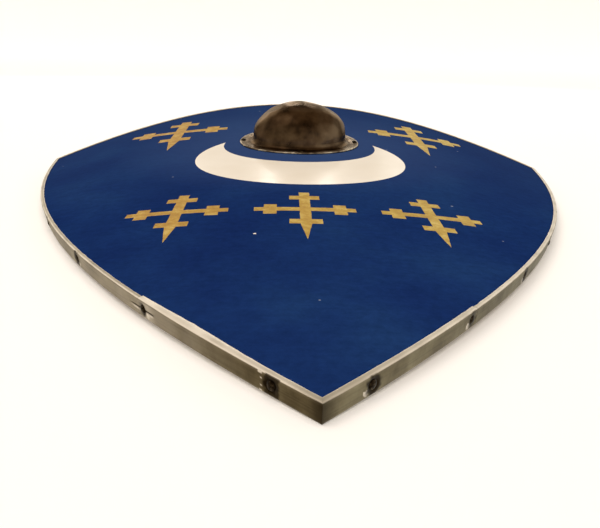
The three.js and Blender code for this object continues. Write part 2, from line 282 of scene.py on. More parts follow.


# Matt oil paint brushed on primed board: deep blue, cloudy, faint brush drag across the shield,
# a painted pool of light round the boss, a painted sheen greying it towards the top, a few pinprick chips down
# to the primer
def bluePaint(add, place):
    drawn = add("Mapping", {"Vector": place, "Scale": (0.07, 1, 1)})
    clouds = add("TexNoise", {"Vector": place, "Scale": lumps(95), "Detail": 5.0})
    drag = add("TexNoise", {"Vector": drawn, "Scale": lumps(4.5), "Detail": 5.0, "Roughness": 0.65})
    fine = add("TexNoise", {"Vector": place, "Scale": lumps(2.2), "Detail": 3.0})
    mottle = add("TexNoise", {"Vector": place, "Scale": lumps(7), "Detail": 5.0, "Roughness": 0.75})
    tint = add("ValToRGB", {"Fac": clouds}, [(0.32, "blueDeep"), (0.52, "blue"), (0.70, "blueLight")])
    streak = add("ValToRGB", {"Fac": drag}, [(0.30, 0.70), (0.50, 1.0), (0.72, 1.40)])
    color = add("Mix", {"Factor": 0.2, "A": tint, "B": streak}, data_type="RGBA", blend_type="MULTIPLY")
    patch = add("ValToRGB", {"Fac": mottle}, [(0.34, 0.78), (0.50, 1.0), (0.68, 1.26)])
    color = add("Mix", {"Factor": 0.6, "A": color, "B": patch}, data_type="RGBA", blend_type="MULTIPLY")
    # Painted light: the blue is lighter round the boss, fading out from it
    bossPlace = tuple(toWorld([(0, bossAlong, 0)])[0])
    fromBoss = add("VectorMath", {0: place, 1: bossPlace}, operation="DISTANCE")
    brightened = add("MapRange", {
        "Value": fromBoss, "From Min": 0.075, "From Max": 0.23, "To Min": 0.55, "To Max": 0.0})
    color = add("Mix", {"Factor": brightened, "A": color, "B": colors["bluePaintedLight"]}, data_type="RGBA")
    # Painted sheen: the blue turns greyer towards the top
    upward = add("SeparateXYZ", {"Vector": place}).outputs["Y"]
    sheenToTop = add("MapRange", {"Value": upward, "From Min": -0.12, "From Max": 0.3, "To Max": 0.5})
    color = add("Mix", {"Factor": sheenToTop, "A": color, "B": colors["blueSheen"]}, data_type="RGBA")
    spots = add("TexVoronoi", {"Vector": place, "Scale": lumps(46)})
    chip = add("MapRange", {
        "Value": spots, "From Min": 0.022, "From Max": 0.03, "To Min": 0.5, "To Max": 0.0})
    color = add("Mix", {"Factor": chip, "A": color, "B": colors["primer"]}, data_type="RGBA")
    gloss = add("MapRange", {"Value": drag, "To Min": 0.50, "To Max": 0.66})
    height = add("Math", {0: drag, 1: 1.6, 2: fine}, operation="MULTIPLY_ADD")
    inputs = {"Base Color": color, "Roughness": gloss, "IOR": 1.48, "Specular IOR Level": 0.0}
    return inputs, height, 0.25, 0.12 * mm


# Bronze-powder gold paint dabbed on: soft sheen, mottled from ochre to pale gold,
# ruddier on the left and yellower on the right, set by place across the shield, partly a painted cast of the
# light
def goldPaint(add, place):
    dabs = add("TexNoise", {"Vector": place, "Scale": lumps(11), "Detail": 6.0, "Roughness": 0.75})
    flakes = add("TexNoise", {"Vector": place, "Scale": lumps(1.2), "Detail": 2.0})
    tint = add("ValToRGB", {"Fac": dabs}, [(0.33, "goldDeep"), (0.50, "gold"), (0.66, "goldPale")])
    # Tint by place across the shield, partly a painted cast of the light
    aside = add("SeparateXYZ", {"Vector": place}).outputs["X"]
    castAcross = add("MapRange", {"Value": aside, "From Min": -0.22, "From Max": 0.22})
    cast = add("Mix", {"Factor": castAcross, "A": colors["goldRuddy"], "B": colors["goldYellow"]}, data_type="RGBA")
    toned = add("Mix", {"Factor": 0.45, "A": tint, "B": cast}, data_type="RGBA")
    glint = add("MapRange", {"Value": flakes, "To Min": 0.34, "To Max": 0.62})
    return {"Base Color": toned, "Roughness": glint, "Specular IOR Level": 0.1}, dabs, 0.3, 0.15 * mm


# Warm white gloss enamel, flowed on by brush: smooth, with faint ripples along the shield
def whiteEnamel(add, place):
    drawn = add("Mapping", {"Vector": place, "Scale": (1, 0.25, 1)})
    clouds = add("TexNoise", {"Vector": place, "Scale": lumps(60), "Detail": 3.0})
    ripple = add("TexNoise", {"Vector": drawn, "Scale": lumps(9), "Detail": 2.0})
    tint = add("ValToRGB", {"Fac": clouds}, [(0.30, "whiteWarm"), (0.70, "white")])
    inputs = {"Base Color": tint, "Roughness": 0.2, "IOR": 1.5, "Specular IOR Level": 0.09}
    return inputs, ripple, 0.3, 0.12 * mm


# Birch plywood, oiled: pale tan face grain along the shield, with fine pores
def birchPly(add, place):
    lengthwise = add("Mapping", {"Vector": place, "Scale": (1, 0.06, 1)})
    longPores = add("Mapping", {"Vector": place, "Scale": (1, 0.03, 1)})
    grain = add("TexNoise", {
        "Vector": lengthwise, "Scale": lumps(6), "Detail": 6.0, "Roughness": 0.6, "Distortion": 0.6})
    pores = add("TexNoise", {"Vector": longPores, "Scale": lumps(0.8), "Detail": 2.0})
    tint = add("ValToRGB", {"Fac": grain}, [(0.28, "birchDeep"), (0.52, "birch"), (0.74, "birchLight")])
    dark = add("ValToRGB", {"Fac": pores}, [(0.30, 0.6), (0.44, 1.0)])
    color = add("Mix", {"Factor": 0.5, "A": tint, "B": dark}, data_type="RGBA", blend_type="MULTIPLY")
    return {"Base Color": color, "Roughness": 0.55}, pores, 0.3, 0.1 * mm


# Sawn edge of the plywood: seven plies, light and dark in turn, slightly furred
def sawnPly(add, place):
    depth = add("Attribute", attribute_name="depth").outputs["Fac"]
    fur = add("TexNoise", {"Vector": place, "Scale": lumps(1.5), "Detail": 3.0})
    pairs = add("Math", {0: depth, 1: 3.5}, operation="MULTIPLY")
    turn = add("Math", {0: pairs}, operation="FRACT")
    tint = add("ValToRGB", {
        "Fac": turn}, [
            (0.0, "plyLight"), (0.47, "plyLight"), (0.50, "plyGlue"), (0.54, "plyDark"), (0.97, "plyDark")])
    return {"Base Color": tint, "Roughness": 0.75}, fur, 0.5, 0.2 * mm


# Mild steel strip, folded and filed by hand: warm grey with fine rub marks, bright where the flange is worn
# and where highlights are painted on flange, fold and walls, dark where grime and painted shade sit round the
# nails
def bindingSteel(add, place):
    wornAndLit = add("Attribute", attribute_name="wearAndShine").outputs["Fac"]
    grimeAndShade = add("Attribute", attribute_name="grimeAndShade").outputs["Fac"]
    haze = add("TexNoise", {"Vector": place, "Scale": lumps(30), "Detail": 6.0, "Roughness": 0.6})
    rub = add("TexNoise", {"Vector": place, "Scale": lumps(2.4), "Detail": 4.0, "Roughness": 0.6})
    tint = add("ValToRGB", {"Fac": haze}, [(0.32, "steelDull"), (0.50, "steel"), (0.68, "steelClean")])
    color = add("Mix", {"Factor": wornAndLit, "A": tint, "B": colors["steelWornAndLit"]}, data_type="RGBA")
    withGrimeAndShade = add("Mix", {"Factor": grimeAndShade, "A": color, "B": colors["grimeAndShade"]}, data_type="RGBA")
    gloss = add("MapRange", {"Value": rub, "To Min": 0.30, "To Max": 0.52})
    # Less metallic where worn and where highlights are painted
    stripMetalness = add("MapRange", {"Value": wornAndLit, "To Min": 1.0, "To Max": 0.3})
    return {"Base Color": withGrimeAndShade, "Roughness": gloss, "Metallic": stripMetalness}, rub, 0.35, 0.08 * mm


# Hand-raised sheet steel, browned and oiled: dark, mirrors the room softly, bare on the worn rim, with painted
# highlights there
def bossSteel(add, place):
    wornAndLit = add("Attribute", attribute_name="wearAndShine").outputs["Fac"]
    haze = add("TexNoise", {"Vector": place, "Scale": lumps(24), "Detail": 5.0})
    fine = add("TexNoise", {"Vector": place, "Scale": lumps(2.0), "Detail": 3.0})
    tint = add("ValToRGB", {"Fac": haze}, [(0.39, "brownDeep"), (0.50, "brown"), (0.63, "brownLight")])
    color = add("Mix", {"Factor": wornAndLit, "A": tint, "B": colors["bareAndLitSteel"]}, data_type="RGBA")
    gloss = add("MapRange", {"Value": haze, "To Min": 0.20, "To Max": 0.38})
    # Less metallic where worn and where highlights are painted
    bossMetalness = add("MapRange", {"Value": wornAndLit, "To Min": 1.0, "To Max": 0.4})
    inputs = {"Base Color": color, "Roughness": gloss, "Metallic": bossMetalness,
              "Specular Tint": colors["brownSheen"]}
    return inputs, fine, 0.2, 0.05 * mm


# Blackened iron of nail and rivet heads, hammered, a little rubbed
def nailIron(add, place):
    specks = add("TexNoise", {"Vector": place, "Scale": lumps(1.6), "Detail": 4.0})
    tint = add("ValToRGB", {"Fac": specks}, [(0.34, "ironDeep"), (0.56, "iron"), (0.72, "ironRubbed")])
    return {"Base Color": tint, "Metallic": 1.0, "Roughness": 0.38}, specks, 0.5, 0.15 * mm


# Ash bar, spokeshaved and oiled: open grain along the bar
def ashWood(add, place):
    lengthwise = add("Mapping", {"Vector": place, "Scale": (0.05, 1, 1)})
    grain = add("TexNoise", {
        "Vector": lengthwise, "Scale": lumps(3.2), "Detail": 6.0, "Roughness": 0.6, "Distortion": 0.4})
    tint = add("ValToRGB", {"Fac": grain}, [(0.30, "ashDeep"), (0.52, "ash"), (0.72, "ashLight")])
    return {"Base Color": tint, "Roughness": 0.5}, grain, 0.4, 0.15 * mm


paint = makeMaterial("BrushedBlueOilPaint", bluePaint)
gold = makeMaterial("BronzePowderGoldPaint", goldPaint)
white = makeMaterial("WarmWhiteEnamel", whiteEnamel)
ply = makeMaterial("OiledBirchPlywood", birchPly)
sawn = makeMaterial("SawnPlywoodEdge", sawnPly)
stripSteel = makeMaterial("FiledMildSteel", bindingSteel)
domeSteel = makeMaterial("BrownedRaisedSteel", bossSteel)
blackIron = makeMaterial("BlackenedIron", nailIron)
ash = makeMaterial("OiledAsh", ashWood)
print("materials ready")


# Board, with the painted figures as regions of its one smooth face

boardSizes = {
    "handHole": 51,
    "gridStep": 9,
    "edgeStep": 6,
    "figureStep": 4.5,
    "figureWobble": 0.35,
    "lowerCrosses": {"along": 299.3, "span": 90, "across": (-112.6, 0, 112.6)},
    "upperCrosses": {"along": 669, "span": 132, "across": (-164, 164)},
    "chip": [(-43.1, 235.2), (-41.2, 234.9), (-40.3, 236.0), (-41.0, 237.4), (-42.6, 237.0)],
    "crescent": {"along": 499, "radius": 120.5, "hollowAlong": 563, "hollowRadius": 93.5},
}


# Cross with crossed arms and a pointed foot; fractions are of the span from arm end to arm end
def crossOutline(across, along, span):
    bar, rail, arm = 0.054, 0.055, 0.064
    topEnd, topCross, topReach = 0.562, 0.378, 0.154
    armEnd, armCross, armReach = 0.5, 0.344, 0.148
    footCross, footReach, footPoint = -0.367, 0.156, -0.841
    half = [(bar, topEnd), (bar, topCross + arm), (topReach, topCross + arm), (topReach, topCross - arm),
            (bar, topCross - arm), (bar, rail), (armCross - arm, rail), (armCross - arm, armReach),
            (armCross + arm, armReach), (armCross + arm, rail), (armEnd, rail)]
    half += [(x, -y) for x, y in reversed(half[5:])]
    half += [(bar, footCross + arm), (footReach, footCross + arm), (footReach, footCross - arm),
             (bar, footCross - arm)]
    outline = half + [(0, footPoint)] + [(-x, y) for x, y in reversed(half)]
    return [(across + span * x, along + span * y) for x, y in outline]


def arc(along, radius, start, end, steps):
    angles = np.linspace(start, end, steps + 1)
    return [(radius * math.sin(a), along - radius * math.cos(a)) for a in angles]


def crescentOutline(along, radius, hollowAlong, hollowRadius):
    apart = hollowAlong - along
    hornAlong = (apart ** 2 + radius ** 2 - hollowRadius ** 2) / (2 * apart)
    outerEnd = math.acos(-hornAlong / radius)
    innerEnd = math.acos((apart - hornAlong) / hollowRadius)
    lower = arc(along, radius, -outerEnd, outerEnd, 96)
    upper = arc(hollowAlong, hollowRadius, innerEnd, -innerEnd, 72)
    return lower + upper[1:-1]


# A brush doesn't follow a line exactly: the outline in short steps, each a little off
def handPainted(outline):
    step, wobble = boardSizes["figureStep"], boardSizes["figureWobble"]
    result = []
    for (x1, y1), (x2, y2) in zip(outline, outline[1:] + outline[:1]):
        count = max(1, round(math.hypot(x2 - x1, y2 - y1) / step))
        result += [(x1 + (x2 - x1) * i / count, y1 + (y2 - y1) * i / count) for i in range(count)]
    return [(x + wobble * (noiseAt(x / 6, y / 6) + 0.5 * noiseAt(x / 2, y / 2, 4)),
             y + wobble * (noiseAt(x / 6, y / 6, 9) + 0.5 * noiseAt(x / 2, y / 2, 14))) for x, y in result]


# The board's edge all round, as a polygon, from the tip up the right side
def boardOutline():
    sideCount = round(sideRun / boardSizes["edgeStep"])
    side = [edgePoint(sidePlace(sideRun * i / sideCount), -edgeInset, 0)[:2] for i in range(1, sideCount)]
    top = [edgePoint(topPlaceAt(halfWidth * (1 - i / 60)), -edgeInset, 0)[:2] for i in range(1, 60)]
    right = side + [edgePoint(sidePlace(sideRun), -edgeInset, 0, cornerSlant)[:2]] + top
    crown = (0, shieldSizes["length"] - edgeInset)
    return [(0, edgeInset / math.sin(tipHalfAngle))] + right + [crown] + [(-x, y) for x, y in reversed(right)]


# Which points lie inside the polygon
def inside(points, outline):
    x, y = points[:, 0], points[:, 1]
    result = np.zeros(len(points), dtype=bool)
    for (x1, y1), (x2, y2) in zip(outline, outline[1:] + outline[:1]):
        if y1 != y2:
            crosses = (y1 > y) != (y2 > y)
            result ^= crosses & (x < (x2 - x1) * (y - y1) / (y2 - y1) + x1)
    return result


def makeBoard():
    outline = boardOutline()
    hole = arc(bossAlong, boardSizes["handHole"], 0, 2 * math.pi, 96)[:-1]
    crosses = [handPainted(crossOutline(across, row["along"], row["span"]))
               for row in (boardSizes["lowerCrosses"], boardSizes["upperCrosses"]) for across in row["across"]]
    crescent = crescentOutline(**boardSizes["crescent"])
    points, edges = [], []
    for loop in [outline, hole, crescent, boardSizes["chip"]] + crosses:
        first = len(points)
        points += loop
        edges += [(first + i, first + (i + 1) % len(loop)) for i in range(len(loop))]
    step = boardSizes["gridStep"]
    rows = int(shieldSizes["length"] / step / 0.87) + 1
    columns = int(halfWidth / step) + 2
    grid = np.array([(i * step + (j % 2) * step / 2, j * step * 0.87)
                     for j in range(rows) for i in range(-columns, columns)], dtype=float)
    grid = grid[inside(grid, outline) & ~inside(grid, hole)]
    fixed = np.array(points)
    points += [tuple(p) for p in grid if np.min(np.hypot(*(fixed - p).T)) > step * 0.3]
    flat, _, faces, _, _, _ = delaunay_2d_cdt([Vector(p) for p in points], edges, [], 0, 1e-6)
    flat = np.array([(v.x, v.y) for v in flat])
    faces = np.array([f for f in faces if len(f) == 3])
    middles = flat[faces].mean(axis=1)
    keep = inside(middles, outline) & ~inside(middles, hole)
    faces, middles = faces[keep], middles[keep]
    region = np.zeros(len(faces), dtype=int)
    for cross in crosses:
        region[inside(middles, cross)] = 1
    region[inside(middles, crescent) | inside(middles, boardSizes["chip"])] = 2
    a, b, c = (flat[faces[:, i]] for i in range(3))
    turned = (b[:, 0] - a[:, 0]) * (c[:, 1] - a[:, 1]) - (b[:, 1] - a[:, 1]) * (c[:, 0] - a[:, 0]) < 0
    faces[turned] = faces[turned][:, ::-1]
    directed = {(int(f[i]), int(f[(i + 1) % 3])) for f in faces for i in range(3)}
    rim = sorted((p, q) for p, q in directed if (q, p) not in directed)
    count = len(flat)
    front = np.column_stack((flat, np.zeros(count)))
    back = np.column_stack((flat, np.full(count, -float(boardThickness))))
    allFaces = [tuple(f) for f in faces] + [tuple(f[::-1] + count) for f in faces]
    allFaces += [(q, p, p + count, q + count) for p, q in rim]
    marks = list(region) + [3] * len(faces) + [4] * len(rim)
    depth = [0.0] * count + [1.0] * count
    board = makeMesh("painted_board", onShield(np.vstack((front, back))), allFaces,
                     [paint, gold, white, ply, sawn], marks, {"depth": depth}, closed=False)
    finishPiece(board, "painted_board", 40, "board")


makeBoard()


# Nails, in a row along each edge

nailSizes = {
    "left": {"count": 6, "first": 35, "last": 72},
    "right": {"count": 7, "first": 38.5, "last": 39},
    "top": {"count": 3, "first": 62, "last": 72},
    "headRadius": 3.1,
    "headHeight": 1.5,
    "shankRadius": 1.2,
    "shankLength": 18,
    "sunk": 0.85,
    "pointRadius": 0.15,
    "unevenness": 0.5,
    "dimpleRadius": 5.4,
    "dimpleDepth": 1.05,
}


def nailRuns(end, count, first, last):
    return [first + i * (end - first - last) / (count - 1) for i in range(count)]


leftRuns = nailRuns(sideRun, **nailSizes["left"])
rightRuns = nailRuns(sideRun, **nailSizes["right"])
topHalf = nailRuns(topRun(halfWidth), **nailSizes["top"])
topRuns = topHalf + [-run for run in topHalf]


# Binding: steel strips folded over the edge, dented round each nail

bindingSizes = {
    "lowerFlange": 5,
    "upperFlange": 4.2,
    "foldRadius": 1.0,
    "foldSteps": 5,
    "edgeRound": 0.35,
    "jointPastNail": 6,
    "coarseStep": 6,
    "fineStep": 0.8,
    "fineReach": 12,
    "wallRows": (-4.3, -3.6, -2.9, -2.2, -1.5, -0.9, -0.5, 0, 0.5, 0.9, 1.5, 2.2, 2.9, 3.6, 4.3),
    "waviness": 0.45,
    "ragged": 0.9,
    "seam": 0.06,
    # Grime and painted shade reach this far round a nail
    "grimeAndShadeReach": 6.6,
    # Painted highlights: sheen on the walls of the left strips, shine on flanges and folds, brighter or duller
    # for some strips
    "wallShine": 0.48,
    "flangeShine": 0.65,
    "dullerFlange": {"steel_upper_left": 0.3},
    "brighter": {"steel_lower_left": 0.35, "steel_top": 0.8},
    "broadening": {"run": 105, "reach": 48, "amount": 2.2},
    # Near the tip: duller painted highlight and painted shade; the walls' painted sheen rises along the run;
    # the slit holds painted shade and a painted glint on its lip
    "tip": {"dull": 70, "dark": 10},
    "wallSheenRamp": {"start": 50, "over": 110},
    "slit": {"half": 13, "nailRoom": 4, "depth": 1.0, "dirtAndShade": 0.95, "lipGlint": 1.3},
}


# Half the section, from the flange's free edge over the fold: outward, out, the way out of the sheet
# and how bright the place is painted, for worn steel and painted highlights
def flangeAndFold(flangeWidth, shine):
    radius, rounding = bindingSizes["foldRadius"], bindingSizes["edgeRound"]
    rows = [(-flangeWidth, channelFront - rounding, (0, 1), 1.0),
            (-flangeWidth + rounding, channelFront, (0, 1), 0.9)]
    rows += [(-flangeWidth + (flangeWidth - radius) * i / 3, channelFront, (0, 1), shine) for i in (1, 2)]
    for i in range(bindingSizes["foldSteps"] + 1):
        angle = math.pi / 2 * i / bindingSizes["foldSteps"]
        away = (math.sin(angle), math.cos(angle))
        # Painted highlight along the bend of the fold
        brightened = 0.95 if away[0] < 0.8 else 0.1
        rows.append((radius * (away[0] - 1), channelFront + radius * (away[1] - 1), away, brightened))
    return rows


def channelRows(flangeWidth, shine):
    front = flangeAndFold(flangeWidth, shine)
    wall = [(0, channelMiddle - row, (1, 0), 0.0) for row in bindingSizes["wallRows"]]
    back = [(outward, 2 * channelMiddle - out, (away[0], -away[1]), brightened)
            for outward, out, away, brightened in reversed(front)]
    return front + wall + back


# Runs along a strip, close together round each nail
def stripRuns(start, end, nails, room):
    fine = np.arange(-bindingSizes["fineReach"], bindingSizes["fineReach"] + 0.01, bindingSizes["fineStep"])
    runs = list(np.arange(start, end, bindingSizes["coarseStep"]))
    runs += [nail + offset for nail in nails for offset in fine]
    inner = sorted(run for run in runs if start + room < run < end - room)
    kept = [start]
    for run in inner:
        if run - kept[-1] > 0.6 * bindingSizes["fineStep"]:
            kept.append(run)
    return kept + [end]


# How far grime and painted shade spread round a nail, as a share of its reach; a nail not named here has more
grimeAndShadeShares = {leftRuns[0]: 1.0, leftRuns[1]: 0.8, rightRuns[1]: 1.0}


# How dark a place is painted: grime and painted shade in the dimple round each nail, and painted shade over
# the whole wall at the first one on the left
def grimeAndShadeAt(run, out, nails):
    amount = 0.0
    ragged = noiseAt(run / 3, out / 3)
    for nail in nails:
        reach = bindingSizes["grimeAndShadeReach"] * grimeAndShadeShares.get(nail, 1.15)
        away = math.hypot(run - nail, out - channelMiddle) / reach + 0.3 * ragged
        amount = max(amount, min(1, 3 * (1 - away)))
        # Painted shade: a dark band over the whole wall beside the first nail on the left
        if nail == leftRuns[0]:
            amount = max(amount, min(0.85, 5.2 - abs(run - nail + 1.0 + noiseAt(out / 2)) / 1.1))
    return max(0, amount)


# Painted glints beside a nail, at the edge of its dimple: over the whole wall at the first one on the left
def glintAt(run, out, nails, seed):
    for nail in nails:
        if nail == leftRuns[0]:
            if 5.8 < run - nail < 8.2 + 2 * noiseAt(out / 2, seed) and noiseAt(out / 1.5, nail) > 0.05:
                return 1.5
        elif math.hypot(nail - run - 6.5, out - channelMiddle + 2.5) < 2 + 0.8 * noiseAt(run, out):
            return 1.5
    return 0.0


# How far the hammered wall and its fold stand back at a place
def dent(run, out, nails, seed):
    depth = bindingSizes["waviness"] * (0.5 + 0.5 * noiseAt(run / 26, out / 9, seed)) * 0.6
    for nail in nails:
        big = 1.15 if nail == leftRuns[0] else 1 + 0.12 * noiseAt(nail, seed)
        away = math.hypot(run - nail - 0.5 * noiseAt(nail, 3), out - channelMiddle)
        away /= nailSizes["dimpleRadius"] * big
        if away < 1:
            depth = max(depth, nailSizes["dimpleDepth"] * (1 - away ** 2) ** 1.5)
    return depth


def makeStrip(name, placeOf, start, end, flangeWidth, nails, slants, shifts, seed, slit=None):
    rows = channelRows(flangeWidth, bindingSizes["dullerFlange"].get(name, bindingSizes["flangeShine"]))
    runs = stripRuns(start, end, nails, flangeWidth + 1)
    wallShine = bindingSizes["wallShine"] if name.endswith("_left") else 0
    broad, tip, sheenRamp, cut = (bindingSizes[k] for k in ("broadening", "tip", "wallSheenRamp", "slit"))
    points, wearAndShine, grimeAndShade = [], [], []
    for run in runs:
        slant, shift = 0, 0
        if run in (start, end):
            slant, shift = slants[run == end], shifts[run == end]
        ragged = bindingSizes["ragged"] * (0.5 + 0.5 * noiseAt(run / 7, seed + 20))
        if name == "steel_lower_left":
            ragged -= broad["amount"] * math.exp(-((run - broad["run"]) / broad["reach"]) ** 2)
        # How bright flange and fold are painted, for worn steel and painted highlights: brighter on some
        # strips, less near the tip
        wornAndLit = 0.5 + 0.5 * noiseAt(run / 18, seed + 30) + bindingSizes["brighter"].get(name, 0)
        # Painted shade darkens the wall at the tip, where the strips wrap round it
        tipShade = 0
        if start == 0:
            wornAndLit *= 0.25 + 0.75 * min(1, run / tip["dull"])
            tipShade = 0.75 * (1 - run / tip["dark"])
        # Painted sheen on the walls of the left strips, rising along the run
        wallSheen = wallShine * min(1, max(0, (run - sheenRamp["start"]) / sheenRamp["over"]))
        wallSheen *= 0.8 + 0.4 * noiseAt(run / 12, seed)
        place = placeOf(run)
        outer, inner = [], []
        for index, (outward, out, away, brightened) in enumerate(rows):
            fromEdge = min(index, len(rows) - 1 - index)
            reach = ragged if fromEdge < 2 else 0
            depth = steelThickness - (0 if fromEdge else bindingSizes["edgeRound"])
            back, dirtAndShade = 0, 0
            if away[0] > 0:
                back = dent(run, out, nails, seed) * away[0]
                # Grime and painted shade in the dimples round the nails
                dirtAndShade = grimeAndShadeAt(run, out, nails)
            if away[0] > 0.5:
                # Random dirt, and painted shade at the tip
                dirtAndShade = max(dirtAndShade, 0.45 * noiseAt(run / 45, out, seed), tipShade)
                # Painted glints beside the nails
                brightened = max(brightened, glintAt(run, out, nails, seed))
            # Painted sheen on the wall
            if away[0] > 0.95:
                brightened = max(brightened, wallSheen)
            # The slit: a groove with painted shade in it and a painted glint on its lower lip
            if slit and abs(run - slit) < cut["half"]:
                if abs(out - channelMiddle) < 0.6:
                    back, dirtAndShade = max(back, cut["depth"]), cut["dirtAndShade"]
                elif abs(run - slit) > cut["nailRoom"] and 0.8 < channelMiddle - out < 1.6:
                    brightened = cut["lipGlint"]
            outer.append(edgePoint(place, outward - back + reach, out, slant, shift))
            inner.append(edgePoint(place, outward - away[0] * steelThickness + reach, out - away[1] * depth,
                                   slant, shift))
            # Brightness painted for worn steel and highlights, darkness painted for grime and shade
            wearAndShine.append(min(1, brightened * (0.55 + 0.9 * wornAndLit)))
            grimeAndShade.append(dirtAndShade)
        points += outer + inner[::-1]
        wearAndShine += [0.0] * len(inner)
        grimeAndShade += [0.0] * len(inner)
    ring = 2 * len(rows)
    last = (len(runs) - 1) * ring
    faces = ringFaces(len(runs), ring)
    for i in range(len(rows) - 1):
        faces.append((i, ring - 1 - i, ring - 2 - i, i + 1))
        faces.append((last + i, last + i + 1, last + ring - 2 - i, last + ring - 1 - i))
    strip = makeMesh(name, onShield(points), faces, [stripSteel], traits={"wearAndShine": wearAndShine, "grimeAndShade": grimeAndShade})
    finishPiece(strip, "binding_steel", 50, name.replace("steel_", "binding_"))


def makeBinding():
    leftJoint = leftRuns[1] + bindingSizes["jointPastNail"]
    rightJoint = rightRuns[1] + bindingSizes["jointPastNail"]
    tipGap = bindingSizes["seam"] / (2 * math.sin(tipHalfAngle))
    cornerGap = clearance / (2 * math.cos(cornerTurn / 2))
    lower, upper = bindingSizes["lowerFlange"], bindingSizes["upperFlange"]
    half = clearance / 2
    for side, placeOf, runs, joint, seed in (("left", leftPlace, leftRuns, leftJoint, 1),
                                             ("right", sidePlace, rightRuns, rightJoint, 2)):
        slit = leftRuns[1] if side == "left" else None
        makeStrip("steel_lower_" + side, placeOf, 0, joint, lower, runs[:2], (-tipSlant, 0),
                  (tipGap, -half), seed, slit)
        makeStrip("steel_upper_" + side, placeOf, joint, sideRun, upper, runs[2:], (0, cornerSlant),
                  (half, -cornerGap), seed + 2, slit)
    # The top strip runs from the left corner to the right, so its slants are the other way round
    end = topRun(halfWidth)
    makeStrip("steel_top", topPlace, -end, end, upper, topRuns, (cornerSlant, -cornerSlant),
              (-cornerGap, cornerGap), 5)


makeBinding()


# Boss: raised dome and flange in one sheet, then hammered by Geometry Nodes

bossSizes = {
    "sheet": 1.6,
    "flangeRadius": 75,
    "domeRadius": 57.5,
    "domeHeight": 41,
    "domeSteps": 40,
    "fullness": 2.5,
    "fillet": 6,
    "filletSteps": 8,
    "rimRound": 0.5,
    "rimUnevenness": 1.1,
    "unevenFrom": 66,
    "sides": 160,
    "hammerMark": 18,
    "hammerDepth": 1.2,
    "flats": [
        {"round": 180, "down": 52, "reach": 26, "depth": 3.2},
        {"round": 232, "down": 66, "reach": 15, "depth": 1.6},
        {"round": 296, "down": 62, "reach": 14, "depth": 1.8},
        {"round": 20, "down": 40, "reach": 20, "depth": 1.5},
        {"round": 264, "down": 74, "reach": 10, "depth": 1.4},
    ],
    "seed": 3.0,
}


# Profile from the crown over the rim to the crown inside: distance from the axis, height, and how bright it is
# painted (worn bare steel and painted highlight)
def bossProfile():
    sheet, fillet, rounding = bossSizes["sheet"], bossSizes["fillet"], bossSizes["rimRound"]
    radius, steps = bossSizes["flangeRadius"], bossSizes["domeSteps"]
    bottom = clearance
    top = bottom + sheet
    base = top + fillet
    outside, inner = [], []
    for line, less in ((outside, 0), (inner, sheet)):
        for i in range(steps + 1):
            angle = math.pi / 2 * i / steps
            rise = math.cos(angle) ** (2 / bossSizes["fullness"]) if i < steps else 0
            away = (bossSizes["domeRadius"] - less) * math.sin(angle)
            line.append((away, base + (bossSizes["domeHeight"] - less) * rise, 0.0))
        for i in range(1, bossSizes["filletSteps"] + 1):
            angle = math.pi / 2 * i / bossSizes["filletSteps"]
            away = bossSizes["domeRadius"] + fillet - (fillet + less) * math.cos(angle)
            line.append((away, base - (fillet + less) * math.sin(angle), 0.0))
    # The rim brightens outwards: worn bare steel and painted highlight
    rim = [(67, top, 0.15), (70, top, 0.3), (73, top, 0.6), (radius - rounding, top, 1.0),
           (radius, top - rounding, 1.0), (radius, bottom + rounding, 0.8), (radius - rounding, bottom, 0.3),
           (70, bottom, 0.0)]
    return outside + rim + inner[::-1]


# An empty Geometry Nodes tree, and the identifiers of its inputs by name
def newShapeTree(name, kinds):
    tree = bpy.data.node_groups.new(name, "GeometryNodeTree")
    sockets = {}
    for title, kind in {"Geometry": "Geometry", **kinds, "Material": "Material"}.items():
        socket = tree.interface.new_socket(title, in_out="INPUT", socket_type="NodeSocket" + kind)
        sockets[title] = socket.identifier
    tree.interface.new_socket("Geometry", in_out="OUTPUT", socket_type="NodeSocketGeometry")
    return tree, sockets


# Puts a tree on a thing, sets its inputs, and keeps the result as a plain mesh
def applyTree(thing, tree, sockets, values):
    modifier = thing.modifiers.new("shape", "NODES")
    modifier.node_group = tree
    for name, value in values.items():
        modifier[sockets[name]] = value
    bpy.context.view_layer.update()
    depsgraph = bpy.context.evaluated_depsgraph_get()
    result = bpy.data.meshes.new_from_object(thing.evaluated_get(depsgraph))
    thing.modifiers.remove(modifier)
    thing.data = result


# Hammer marks along the normals, always inwards
def hammeredSheetTree():
    tree, sockets = newShapeTree("HammeredSheet", dict.fromkeys(("Mark Size", "Mark Depth", "Seed"), "Float"))
    add = partial(addNode, tree)
    given = add("NodeGroupInput").outputs
    closeness = add("Math", {0: 1.0, 1: given["Mark Size"]}, operation="DIVIDE")
    marks = add("TexVoronoi", {
        "Scale": closeness, "W": given["Seed"], "Smoothness": 0.15},
        voronoi_dimensions="4D", feature="SMOOTH_F1")
    hollow = add("MapRange", {"Value": marks, "From Max": 0.75, "To Min": 1.0, "To Max": 0.0})
    hammered = add("GeometryNodeInputNamedAttribute", {"Name": "hammered"}, data_type="FLOAT")
    deep = add("Math", {0: hollow, 1: given["Mark Depth"]}, operation="MULTIPLY")
    share = add("Math", {0: deep, 1: hammered}, operation="MULTIPLY")
    inward = add("Math", {0: share, 1: -1.0}, operation="MULTIPLY")
    normal = add("GeometryNodeInputNormal")
    offset = add("VectorMath", {0: normal, "Scale": inward}, operation="SCALE")
    moved = add("GeometryNodeSetPosition", {"Geometry": given["Geometry"], "Offset": offset})
    real = add("GeometryNodeRealizeInstances", {"Geometry": moved})
    finished = add("GeometryNodeSetMaterial", {"Geometry": real, "Material": given["Material"]})
    add("NodeGroupOutput", {"Geometry": finished})
    return tree, sockets


